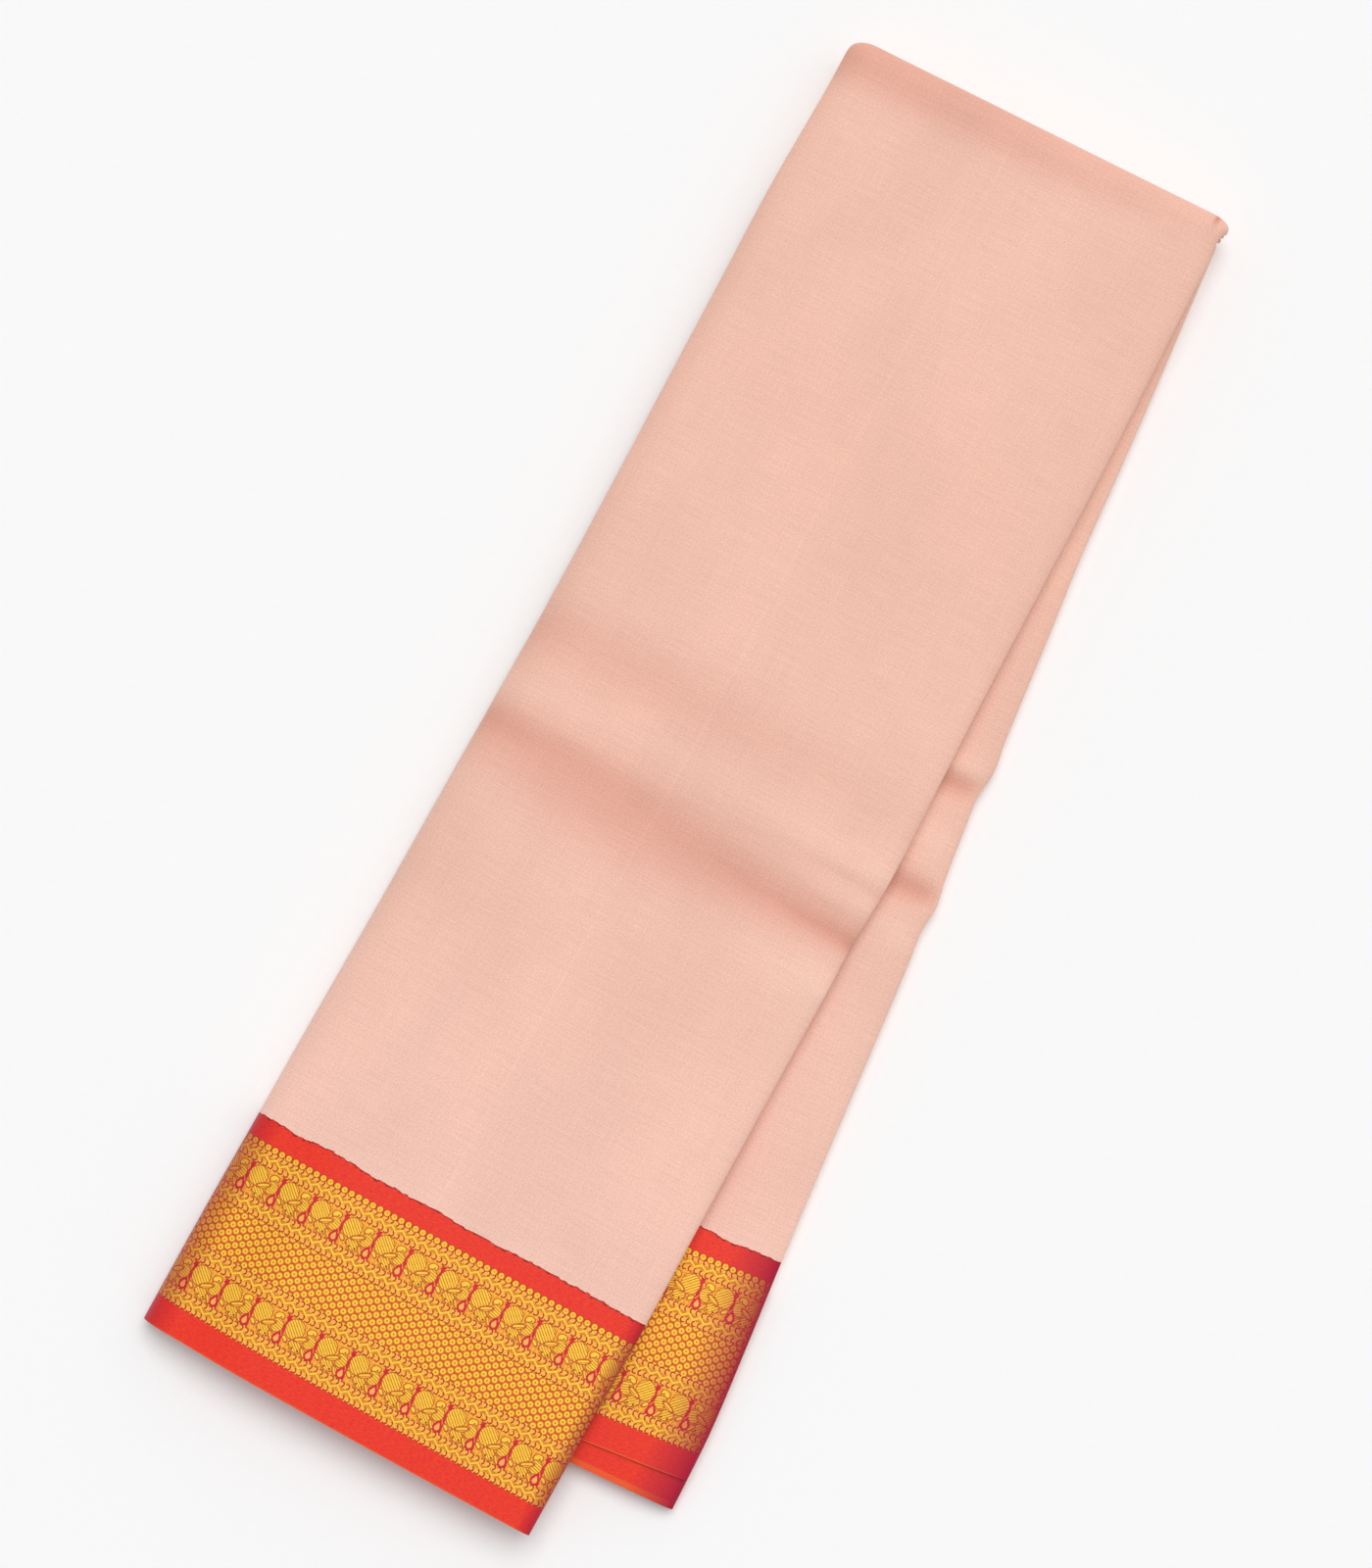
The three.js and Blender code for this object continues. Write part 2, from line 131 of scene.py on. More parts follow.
# Creases set into the folded cloth, each at its left end, middle and right end: where it runs, how
# strong it is, and its half width. The strength sets both the trough's depth and the shade painted
# into it; a strength under 0 is a ridge, which is painted lighter.
CREASE_COLUMNS = "left mid right left_press mid_press right_press left_reach mid_reach right_reach"
FRONT_CREASES = table(
    CREASE_COLUMNS,
    (276, 271, 266, 1, 0.68, 0.85, 8, 14, 11),
    (262, 258, 256, 0.34, 0.46, 0.05, 10, 17, 10),
    (252, 246, 243, -0.1, 0, -0.3, 9, 9, 9),
    (270, 270, 270, 0, 0, -0.2, 70, 70, 70),
    (270, 266, 263, 0, -0.05, 0.7, 5, 5, 4),
    (284, 285, 286, 0, -0.03, 0.35, 3, 3, 3),
    (277, 277, 277, 0, 0, -0.25, 3, 3, 4),
    (318, 319, 316, 0.55, 0.36, 0.08, 12, 14, 9),
    (292, 296, 293, -0.1, -0.05, -0.2, 6, 5, 7),
    (205, 209, 214, 0.12, 0.08, 0.02, 22, 22, 22),
    (455, 447, 440, 0.05, 0.1, 0.06, 38, 38, 38),
)
BACK_CREASES = table(
    CREASE_COLUMNS,
    (285, 290, 297, 0.4, 0.6, 1.25, 7, 7, 5),
    (262, 270, 277, -0.1, -0.1, -0.3, 8, 8, 7),
    (330, 336, 343, 0.4, 0.6, 1.1, 8, 7, 4.5),
    (338, 344, 351, -0.1, -0.1, -0.35, 6, 6, 5),
    (306, 312, 318, -0.1, -0.1, -0.3, 8, 8, 8),
    (150, 160, 168, 0.1, 0.15, 0.2, 24, 24, 24),
)
UNDER_CREASES = table(
    CREASE_COLUMNS,
    (262, 266, 271, 0.8, 0.6, 0.3, 8, 11, 9),
    (318, 325, 331, 0.4, 0.6, 0.7, 9, 12, 10),
    (431, 427, 420, 0.1, 0.2, 0.2, 30, 30, 30),
)
# A band of shade painted just under the top fold and a little way round it, with no depth
TOP_FOLD_SHADE = table(CREASE_COLUMNS, (591, 591, 594, 0.9, 0.62, 0.15, 11, 9, 7))

# Depth of a full trough on top and on the underside, and the heights in the stack over which the
# creases of each half fade in
TROUGH_DEPTH = 1.7
UNDER_DEPTH = 0.6
FRONT_CREASES_FADE = (1, 7)
BACK_CREASES_FADE = (6, 10)

# Small rounded knuckle at the right end of the top fold: how far it stands out and how far along the
# fold it reaches, how far round the fold its middle is and it spreads, and a short line of shade
# painted beside it, which has no depth
KNUCKLE_OUT = 2.1
KNUCKLE_REACH = 6
KNUCKLE_TURN = 0.9
KNUCKLE_SPREAD = 0.55
KNUCKLE_SHADE_FROM_END = 4.6
KNUCKLE_SHADE_REACH = 0.9
KNUCKLE_SHADE = 2

# How far round the top fold its painted shade reaches, in radians
TOP_FOLD_SHADE_TURN = 2

# Side folds in section: how far in each rounds over the top and tucks under, the height of its
# nose, the lowest height that the outer layer reaches round it, and how strongly shade and a crimson
# sheen are painted on its border as it turns away
FOLD_COLUMNS = "side round tuck nose reach dull"
FRONT_FOLDS = table(FOLD_COLUMNS, ("left", 13, 3, 3.6, 0.9, 1.1), ("right", 6.5, 1.6, 6.6, 5, 1.7))
UNDER_FOLDS = table(FOLD_COLUMNS, ("left", 5, 1.6, 5.6, 4.9, 1), ("right", 5, 1.6, 5.6, 4.9, 1))
BACK_FOLDS = table(FOLD_COLUMNS, ("left", 7, 1.6, 6, 5.6, 1), ("right", 19, 1.6, 6, 5.6, 2.6))

# Flattened loops of cloth inside the stack: the heights each one fills, how far in from the left
# and right edge its folds lie, and how far its hem stands back
LOOPS = table(
    "low high left right hem",
    (0.15, 2.3, 5, 0.7, 1.4),
    (2.45, 4.55, 5.5, 0.5, 0.7),
    (4.7, 6.5, 7, 3, 1.7),
    (6.65, 8.2, 8.5, 4, 0.9),
)

# The same loops in the back half, by height from the surface, spread from the top fold down, and
# how strongly shade and a crimson sheen are painted on the zari at a loop's fold
BACK_LOOPS = table(
    "low high left right hem",
    (6.7, 7.9, 7, 11.5, 0.9),
    (5, 6.5, 5.5, 5, 1.5),
    (3.3, 4.8, 5, 3, 0.7),
    (1.2, 3.1, 5.5, 4.5, 1.8),
)
LOOPS_SPREAD_FROM = 545
LOOP_PAINTED_SHADE = 0.4

# Overhang of the front half, which sags past the back half's left edge
SAG_LOOSENING = 0.6
SAG_START = 37
SAG_SPAN = 41
SAG_LEVEL_FROM = 480
SAG_LEVEL_SPAN = 100
SAG_LEVEL_SHIFT = 12

# Slight unevenness of the cloth, broad and small: its pitch across and up, rise and seed, and the
# height in the stack from which it starts and over which it grows
RIPPLES = table("across up rise seed", (48, 75, 0.32, 0), (15, 22, 0.09, 7))
RIPPLES_FROM = 5
RIPPLES_SPAN = 5
FRONT_SEED = 1
BACK_SEED = 3

# The share of the back half's width from which it shows past the front half
BACK_SHOWN_FROM = 0.7
BACK_SHOWN_SPAN = 0.2

# Steps of the cloth's grids
FOLD_STEPS = 14
MIDDLE_STEPS = 60
TURN_STEPS = 22
PLAIN_STEP = 3.6
BORDER_STEP = 2.2
CREASED_STEP = 1.7
CREASED_FROM = 245
CREASED_TO = 372
LOOP_NOSE_STEPS = 7
LOOP_FLAT_STEPS = 6
LOOP_STEP = 5.5


def mix(start, end, part):
    return start + (end - start) * part


def ease(value):
    part = min(1, max(0, value))
    return part * part * (3 - 2 * part)


def column(rows, name, up):
    """A table's column at a height up the strip, on a smooth curve through its rows."""
    if up <= rows[0]["up"]:
        return rows[0][name]
    if up >= rows[-1]["up"]:
        return rows[-1][name]
    after = next(index for index, row in enumerate(rows) if row["up"] > up)
    low, high = rows[after - 1], rows[after]
    before, beyond = rows[max(0, after - 2)], rows[min(len(rows) - 1, after + 1)]
    span = high["up"] - low["up"]
    part = (up - low["up"]) / span
    slope_low = (high[name] - before[name]) / (high["up"] - before["up"]) * span
    slope_high = (beyond[name] - low[name]) / (beyond["up"] - low["up"]) * span
    square, cube = part**2, part**3
    return (
        (2 * cube - 3 * square + 1) * low[name]
        + (cube - 2 * square + part) * slope_low
        + (3 * square - 2 * cube) * high[name]
        + (cube - square) * slope_high
    )


def front_row(up):
    """A row across the front half: its two ends on the strip."""
    rise = TOP_FOLD_RISE / 2 * ease(up / TOP_FOLD_UP)
    left = Vector((column(FRONT_EDGES, "left", up), up - rise))
    return left, Vector((column(FRONT_EDGES, "right", up), up + rise))


def back_row(up, lower=False):
    """A row across the back half, which leans with the fan; up is measured at its right end."""
    rows = LOWER_ROWS if lower and up < BACK_BORDER_TOP else BACK_EDGES
    level = ease((up - FAN_START) / (TOP_FOLD_UP - FAN_START))
    right = column(BACK_EDGES, "right", up)
    left = mix(right - FLAP_WIDTH, column(FRONT_EDGES, "left", up), level)
    right_up = up + TOP_FOLD_RISE / 2 * level
    left_up = right_up - column(rows, "slope", up) * (right - left)
    return Vector((left, left_up)), Vector((right, right_up))


def row_width(row):
    return row[1].x - row[0].x


def part_way(crease, name, part):
    """A crease's value part way across, on a curve through its left, middle and right."""
    left, mid, right = (crease[side + name] for side in ("left", "mid", "right"))
    return mix(left, right, part) + (2 * mid - left - right) * 2 * part * (1 - part)


def press(creases, part, up):
    """How strong the creases are at a spot, 1 in a full trough and under 0 on a ridge; this sets
    their depth and the shade painted into them.
    """
    total = 0
    for crease in creases:
        distance = (up - part_way(crease, "", part)) / part_way(crease, "_reach", part)
        total += part_way(crease, "_press", part) * math.exp(-distance * distance)
    return total


def fade_in(fade, height):
    """0 below the fade's first height, 1 over its last."""
    return ease((height - fade[0]) / (fade[1] - fade[0]))


def front_base(across, up):
    """Height of the front half's underside, over the back half and down to the surface past it."""
    levelling = SAG_LEVEL_SHIFT * ease((up - SAG_LEVEL_FROM) / SAG_LEVEL_SPAN)
    beyond = across - back_row(up)[0].x + levelling
    return (FLAP_HEIGHT + PARTING) * ease((beyond + SAG_START) / SAG_SPAN)


def ripple(across, up, height, seed):
    """Slight unevenness of the cloth's surface, gone at the bottom of the stack."""
    total = 0
    for row in RIPPLES:
        spot = Vector((across / row["across"], up / row["up"], seed + row["seed"]))
        total += row["rise"] * noise.noise(spot)
    return total * ease((height - RIPPLES_FROM) / RIPPLES_SPAN)


def place_front(up):
    """Places the points of a row of the front half, by distance along it and height in the stack:
    across, up, height and the strength of the shade painted there."""
    left, right = front_row(up)

    def place(distance, height):
        part = distance / (right.x - left.x)
        spot = left.lerp(right, part)
        crease_and_shade = press(FRONT_CREASES, part, spot.y) * fade_in(FRONT_CREASES_FADE, height)
        base = front_base(spot.x, spot.y)
        loosening = 1 + SAG_LOOSENING * (1 - base / (FLAP_HEIGHT + PARTING))
        lift = ripple(spot.x, spot.y, height, FRONT_SEED)
        bow = HEM_BOW * 4 * part * (1 - part) * (1 - ease(up / HEM_BOW_REACH))
        level = base + height * loosening - TROUGH_DEPTH * crease_and_shade + lift
        # The fourth value is the strength of the painted shade, in the creases and in the band under
        # the top fold
        return Vector((spot.x, spot.y - bow, level, crease_and_shade + press(TOP_FOLD_SHADE, part, spot.y)))

    return place


def place_back(up, lower=False):
    """Places the points of a row of the back half."""
    left, right = back_row(up, lower)

    def place(distance, height):
        part = distance / (right.x - left.x)
        spot = left.lerp(right, part)
        crease_and_shade = press(BACK_CREASES, part, spot.y) * fade_in(BACK_CREASES_FADE, height)
        shown = ease((part - BACK_SHOWN_FROM) / BACK_SHOWN_SPAN)
        lift = ripple(spot.x, spot.y, height, BACK_SEED) * shown
        return Vector((spot.x, spot.y, height - TROUGH_DEPTH * crease_and_shade + lift, crease_and_shade))

    return place


def place_under(up):
    """Places the points of a row of the underside, where the outer layer lies on the surface."""
    left, right = back_row(up, lower=True)

    def place(distance, height):
        part = distance / (right.x - left.x)
        spot = left.lerp(right, part)
        crease_and_shade = max(0, press(UNDER_CREASES, part, spot.y)) * fade_in(BACK_CREASES_FADE, height)
        return Vector((spot.x, spot.y, FLAP_HEIGHT - height + UNDER_DEPTH * crease_and_shade, crease_and_shade))

    return place


def place_turn(angle):
    """Places the points of a row that has turned so far round the top fold."""
    left, right = front_row(TOP_FOLD_UP)
    centre = FLAP_HEIGHT + PARTING / 2

    def place(distance, height):
        part = distance / (right.x - left.x)
        spot = left.lerp(right, part)
        radius = height + PARTING / 2
        radius += ripple(spot.x, spot.y, height, FRONT_SEED) * math.cos(angle / 2) ** 2
        past_fold = spot.y + radius * math.sin(angle)
        # Shade painted under the top fold, and a short painted line of shade beside the knuckle
        crease_and_shade = press(TOP_FOLD_SHADE, part, spot.y) * ease(TOP_FOLD_SHADE_TURN - angle)
        from_end = row_width((left, right)) - distance
        round_it = math.exp(-(((angle - KNUCKLE_TURN) / KNUCKLE_SPREAD) ** 2))
        spot.x += KNUCKLE_OUT * ease(1 - from_end / KNUCKLE_REACH) * round_it
        beside = (from_end - KNUCKLE_SHADE_FROM_END) / KNUCKLE_SHADE_REACH
        crease_and_shade += KNUCKLE_SHADE * math.exp(-beside * beside) * round_it
        return Vector((spot.x, past_fold, centre + radius * math.cos(angle), crease_and_shade))

    return place


def mixed_folds(start, end, part):
    """Blend of two pairs of side folds."""
    return [
        {name: low[name] if name == "side" else mix(low[name], high[name], part) for name in low}
        for low, high in zip(start, end)
    ]


def fold_quarter(fold):
    """A side fold from its lowest reach round the nose to the top: distance, height and turn."""
    lowest = -math.asin(1 - fold["reach"] / fold["nose"])
    points = []
    for step in range(FOLD_STEPS + 1):
        angle = mix(lowest, math.pi / 2, step / FOLD_STEPS)
        below = angle < 0
        width = fold["tuck"] if below else fold["round"]
        rise = fold["nose"] if below else FLAP_HEIGHT - fold["nose"]
        height = fold["nose"] + rise * math.sin(angle)
        # How far the cloth has turned away, which sets the shade and crimson sheen painted on it
        turn = fold["dull"] * (1 - math.sin(angle))
        points.append((width * (1 - math.cos(angle)), height, turn))
    return points


def stack_line(folds, width):
    """The stack's outer line in section: distance, height and turn at each point."""
    left = fold_quarter(folds[0])
    right = [(width - x, z, turn) for x, z, turn in reversed(fold_quarter(folds[1]))]
    start, end = left[-1][0], right[0][0]
    middle = [
        (mix(start, end, step / MIDDLE_STEPS), FLAP_HEIGHT, 0) for step in range(1, MIDDLE_STEPS)
    ]
    return left + middle + right


def loop_line(loop, width):
    """A flattened loop in section, from its left fold over the top and back along the bottom."""
    radius = (loop["high"] - loop["low"]) / 2
    level = loop["low"] + radius
    left, right = loop["left"] + radius, width - loop["right"] - radius
    line = []
    for centre, start in ((right, math.pi / 2), (left, -math.pi / 2)):
        for step in range(LOOP_NOSE_STEPS + 1):
            angle = start - math.pi * step / LOOP_NOSE_STEPS
            x, z = centre + radius * math.cos(angle), level + radius * math.sin(angle)
            # Shade and a crimson sheen painted round the loop's folds
            line.append((x, z, LOOP_PAINTED_SHADE))
        flat = range(1, LOOP_FLAT_STEPS)
        from_x, to_x = (right, left) if centre == right else (left, right)
        height = loop["low"] if centre == right else loop["high"]
        line += [(mix(from_x, to_x, step / LOOP_FLAT_STEPS), height, 0) for step in flat]
    return line + line[:1]


def deeper(line, depth):
    """The stack's line one layer further in, packed closer at its side folds."""
    width = line[0][0] + line[-1][0]
    inset = depth * SIDE_PACKING
    narrowing = 1 - 2 * inset / width
    return [
        (inset + x * narrowing, z * (1 - depth / FLAP_HEIGHT), turn) for x, z, turn in line
    ]


def cloth_row(place, line, up, facing=1):
    """A row of the cloth: its points with the strength of the shade painted on them, and where each
    one is in the weave. The weave runs from right to left on cloth that faces -1."""
    run = [0]
    for (x, z, _), (next_x, next_z, _) in zip(line, line[1:]):
        run.append(run[-1] + math.hypot(next_x - x, next_z - z))
    return [
        (place(x, z), Vector(((length - run[-1] / 2) * facing, up, turn)))
        for (x, z, turn), length in zip(line, run)
    ]


def heights(low, high, plain=PLAIN_STEP):
    """Heights up the strip for the rows, closer where the cloth is creased."""
    ups = [low]
    while ups[-1] < high:
        step = min(plain, CREASED_STEP) if CREASED_FROM <= ups[-1] < CREASED_TO else plain
        ups.append(min(high, ups[-1] + step))
    return ups


def weave_grid(cloth, rows, closed):
    """Adds a grid of cloth through the rows, with each point's place in the weave and the strength of
    the shade painted there.
    """
    weave, crease_shade_layer = cloth.verts.layers.float_vector["weave"], cloth.verts.layers.float["press"]
    across, along = len(rows[0]) - 1, len(rows) - 1
    verts = bmesh.ops.create_grid(cloth, x_segments=across, y_segments=along, size=0.5)["verts"]
    for vert in verts:
        row = rows[round((vert.co.y + 0.5) * along)]
        point, place = row[round((vert.co.x + 0.5) * across)]
        vert.co = Vector((point.x - CENTRE_ACROSS, point.y - CENTRE_UP, max(0, point.z))) * MM
        vert[weave] = place
        # The strength of the shade painted at this point, kept for the material
        vert[crease_shade_layer] = point.w
    if closed:
        bmesh.ops.remove_doubles(cloth, verts=verts, dist=CLOSE * MM)


def cloth_piece(name, grids, materials, slot, nodes, closed=False):
    """A piece of cloth, woven in one or more grids, with its thickness laid inwards."""
    cloth = bmesh.new()
    cloth.verts.layers.float_vector.new("weave")
    cloth.verts.layers.float.new("press")
    for rows in grids:
        weave_grid(cloth, rows, closed)
    weave = cloth.verts.layers.float_vector["weave"]
    for face in cloth.faces:
        face.smooth = True
        up = min(vert[weave].y for vert in face.verts)
        face.material_index = min(len(materials) - 1, int(up > JOIN_REACH))
    for edge in cloth.edges:
        edge.smooth = not edge.is_boundary
    mesh = bpy.data.meshes.new(name)
    cloth.to_mesh(mesh)
    cloth.free()
    for material in materials:
        mesh.materials.append(material)
    piece = bpy.data.objects.new(name, mesh)
    bpy.context.scene.collection.objects.link(piece)
    wall = piece.modifiers.new("cloth thickness", "SOLIDIFY")
    wall.thickness = CLOTH * MM
    wall.offset = -1
    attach(piece, "root")
    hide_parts(*nodes)
    return piece


# Colours and shader nodes


def linear(code):
    """An sRGB hex colour as linear red, green, blue and alpha."""
    channels = [int(code[place : place + 2], 16) / 255 for place in (1, 3, 5)]
    return (
        *(c / 12.92 if c <= 0.04045 else ((c + 0.055) / 1.055) ** 2.4 for c in channels),
        1,
    )


def add(tree, kind, *values, named=None, out=0, stops=(), **settings):
    """Adds a node, such as Math ADD, with its settings, and its inputs as values or links."""
    kind, _, operation = kind.partition(" ")
    node = tree.nodes.new("ShaderNode" + kind)
    if operation:
        node.operation = operation
    for name, value in settings.items():
        setattr(node, name, value)
    for socket, value in [*enumerate(values), *(named or {}).items()]:
        if isinstance(value, bpy.types.NodeSocket):
            tree.links.new(value, node.inputs[socket])
        elif value is not None:
            node.inputs[socket].default_value = value
    if stops:
        ramp = node.color_ramp.elements
        ramp.remove(ramp[-1])
        for index, (place, code) in enumerate(stops):
            stop = ramp.new(place) if index else ramp[0]
            stop.position, stop.color = place, linear(code)
    return node.outputs[out]


def paint(tree, under, mask, over):
    """A colour with another painted over it through a mask, each as a hex code or a link."""
    codes = [linear(colour) if isinstance(colour, str) else colour for colour in (under, over)]
    values = {"Factor": mask, 6: codes[0], 7: codes[1]}
    return add(tree, "Mix", named=values, out=2, data_type="RGBA")


def mask_below(tree, distance, edge, soft):
    """1 where a distance is under an edge, 0 over it, with a soft step between."""
    return add(
        tree, "MapRange", distance, edge - soft / 2, edge + soft / 2, 1, 0,
        interpolation_type="SMOOTHSTEP",
    )


def weave_place(tree):
    """This spot's place in the weave, whole and as across, up and turn."""
    place = add(tree, "Attribute", attribute_name="weave", attribute_type="GEOMETRY", out=1)
    across = add(tree, "SeparateXYZ", place)
    return place, across, across.node.outputs[1], across.node.outputs[2]


# Layout of the border above its hem. The bands lie alike on either side of its middle, and again
# on either side of each row of birds.
BORDER_MIDDLE = 46.6
ZARI_REACH = 35.3
BIRD_ROW = 22.4
BIRD_ROW_REACH = 6.3
BIRD_PITCH = 14.45
BIRD_START = -5.1
CHEVRON_ROW = 9.6
HOOK_ROW = 2.2
BAND_REACH = 1.1
CELL = BIRD_PITCH / 6
EYELET_PITCH = (2 * CELL, 3.3, 1)
EYELET_SEAM = 0.14
BEAD_PITCH = BIRD_PITCH / 4.5
BEAD_ROW = 82.5
BEAD_RADIUS = 1.52
CHEVRON_SLOPE = 0.72
MOTIF_REACH = 2

# A hook in its cell, and the pale block inside it
HOOK_ACROSS = 0.05
HOOK_RADIUS = 0.98
HOOK_HALF_WIDTH = 0.28
HOOK_OPEN_SLOPE = -0.6
HOOK_OPEN_FROM = 0.3
HOOK_OPEN_SOFT = 0.2
BLOCK_ACROSS = -0.1
BLOCK_REACH = 0.62
BLOCK_SOFT = 0.3

# Birds: half width of an outline, width of the lines that fill an oval, and the rings round pale
# blocks that lie between the ovals, on a scale from 0 at a block's middle to 1.4
OUTLINE = 0.19
LINE_WIDTH = 0.34
CURL_TURNS = 1.7
CURL_BLOCK = 0.6
CURL_BLOCK_SOFT = 0.2
CURL_RING = 0.8
CURL_HALF_WIDTH = 0.12

# Soft steps at the edges of bands, lines, feet and bare red silk
BAND_SOFT = 0.1
LINE_SOFT = 0.12
FEET_SOFT = 0.15
BARE_SOFT = 0.18

# Zari: the distances from an eyelet's middle to which it stands up and from which it lies low, its
# metal, gloss and grain, and how strongly shade and a crimson sheen are painted on it towards a fold
RAISED_TO = 0.9
RAISED_FROM = 1.5
ZARI_METAL = 0.15
ZARI_ROUGHNESS = 0.42
ZARI_SHEEN = 0.03
ZARI_GRAIN = (0.94, 1.06)
FOLD_PAINTED_SHADE = 0.75
FOLD_PAINTED_SHADE_CURVE = 0.4

# Colours of the silk and zari, as sRGB
PEACH_LOW = "#f6c7b6"
PEACH_HIGH = "#f3c1ad"
RED = "#ec2a28"
ORANGE_RED = "#f2431c"
BARE_RED = "#cf2632"
HEM_ORANGE = "#ee5a26"
FOLD_SHADE_CRIMSON = "#a81638"
DARK_RED = "#a81a16"
GOLD = "#ffb031"
BRIGHT_GOLD = "#ffca40"
ORANGE_GOLD = "#ec8430"
PALE_GOLD = "#fdb058"
OLIVE = "#c4701c"
RUST = "#bf5c24"
BROWN = "#9c3214"

# Ovals of a bird, from where its cell starts: centre, half sizes, lean, and the slant and pitch of
# the lines that fill it
BIRD_OVALS = table(
    "x y wide tall lean slant pitch",
    (7.2, 2.6, 3, 2.2, -20, -38, 0.95),
    (10.9, 1.9, 1.9, 1, -50, -50, 0.9),
    (2, 3.4, 1.6, 0.8, -38, -38, 1.6),
    (10.7, 10.2, 2, 1.4, 18, 50, 3.4),
    (11.4, 6.6, 2.5, 2.8, 0, -15, 0.95),
    (4.1, 8.4, 3.9, 4.1, 0, -41, 1.02),
    (7.9, 5.9, 2.8, 1.05, 28, 28, 1.1),
)

# A bird's two feet and its eye
FEET_OVALS = table(
    "x y wide tall lean",
    (6.3, 1.5, 0.42, 0.42, 0),
    (8.8, 1.5, 0.45, 0.45, 0),
    (11.4, 10, 0.35, 0.3, 0),
)

# Ovals of the red silk left bare between two birds: a star, a wavy stem and a drop
GAP_OVALS = table(
    "x y wide tall lean",
    (0, 11.6, 1.45, 0.5, 38),
    (0, 11.6, 1.45, 0.5, -38),
    (0, 10.7, 0.7, 1.1, 0),
    (-0.25, 8.9, 0.4, 1.8, -8),
    (0, 6.2, 0.62, 1.9, 14),
    (-1, 2, 1.9, 2.2, 0),
    (-0.9, 3.9, 0.8, 1.3, 0),
    (0.7, 1.6, 0.42, 2.4, 6),
)
DROP_OVALS = table("x y wide tall lean", (-1, 1.9, 1, 1.15, 0), (-0.95, 2.8, 0.5, 0.9, 0))

# Grains of the threads to the millimetre, across and up, and the range of most of a noise's values
THREAD_GRAIN = (0.9, 2.2)
NOISE_RANGE = (0.3, 0.7)


def oval(tree, spot, shape):
    """Distance past an oval's edge."""
    place = Vector((shape["x"], shape["y"], 0))
    turned = (0, 0, math.radians(shape["lean"]))
    size = (shape["wide"], shape["tall"], 1)
    part = add(tree, "Mapping", spot, place, turned, size, vector_type="TEXTURE")
    length = add(tree, "VectorMath LENGTH", part, out=1)
    reach = min(shape["wide"], shape["tall"])
    return add(tree, "Math MULTIPLY_ADD", length, reach, -reach)


def lines(tree, spot, slant, pitch, thin):
    """Mask of thin slanted lines at a pitch."""
    turned = (0, 0, math.radians(slant + 90))
    part = add(tree, "Mapping", spot, None, turned, (pitch,) * 3, vector_type="TEXTURE")
    near = add(tree, "Math PINGPONG", add(tree, "SeparateXYZ", part), 0.5)
    return mask_below(tree, near, thin / pitch / 2, LINE_SOFT)


def repeat(tree, value, pitch):
    """Distance from the middle of the cell that a value is in, along a row of cells."""
    part = add(tree, "Math FRACT", add(tree, "Math DIVIDE", value, pitch))
    return add(tree, "Math MULTIPLY", add(tree, "Math SUBTRACT", part, 0.5), pitch)


def eyelets(tree, place):
    """Six-sided eyelets in rows, each row half a cell along: their colour, and how near each
    spot is to an eyelet's middle."""
    distances = []
    for shift in (0, 0.5):
        cell = add(tree, "VectorMath DIVIDE", place, EYELET_PITCH)
        cell = add(tree, "VectorMath ADD", cell, (shift, shift, 0))
        cell = add(tree, "VectorMath FRACTION", cell)
        cell = add(tree, "VectorMath SUBTRACT", cell, (0.5, 0.5, 0))
        cell = add(tree, "VectorMath MULTIPLY", cell, (EYELET_PITCH[0], EYELET_PITCH[1], 0))
        distances.append(add(tree, "VectorMath LENGTH", cell, out=1))
    near = add(tree, "Math MINIMUM", *distances)
    stops = (
        (0, OLIVE), (0.28, OLIVE), (0.46, BRIGHT_GOLD), (0.8, BRIGHT_GOLD), (1.12, GOLD),
        (1.36, RUST), (1.5, RUST), (1.62, ORANGE_RED),
    )
    colour = by_distance(tree, near, stops)
    between = add(tree, "Math ABSOLUTE", add(tree, "Math SUBTRACT", *distances))
    seam = mask_below(tree, between, EYELET_SEAM, LINE_SOFT)
    return paint(tree, colour, seam, RUST), near


def by_distance(tree, distance, stops):
    """Colours by distance from the middle of a motif, each from its own distance in mm."""
    part = add(tree, "Math DIVIDE", distance, MOTIF_REACH)
    parts = [(place / MOTIF_REACH, code) for place, code in stops]
    return add(tree, "ValToRGB", part, stops=parts)


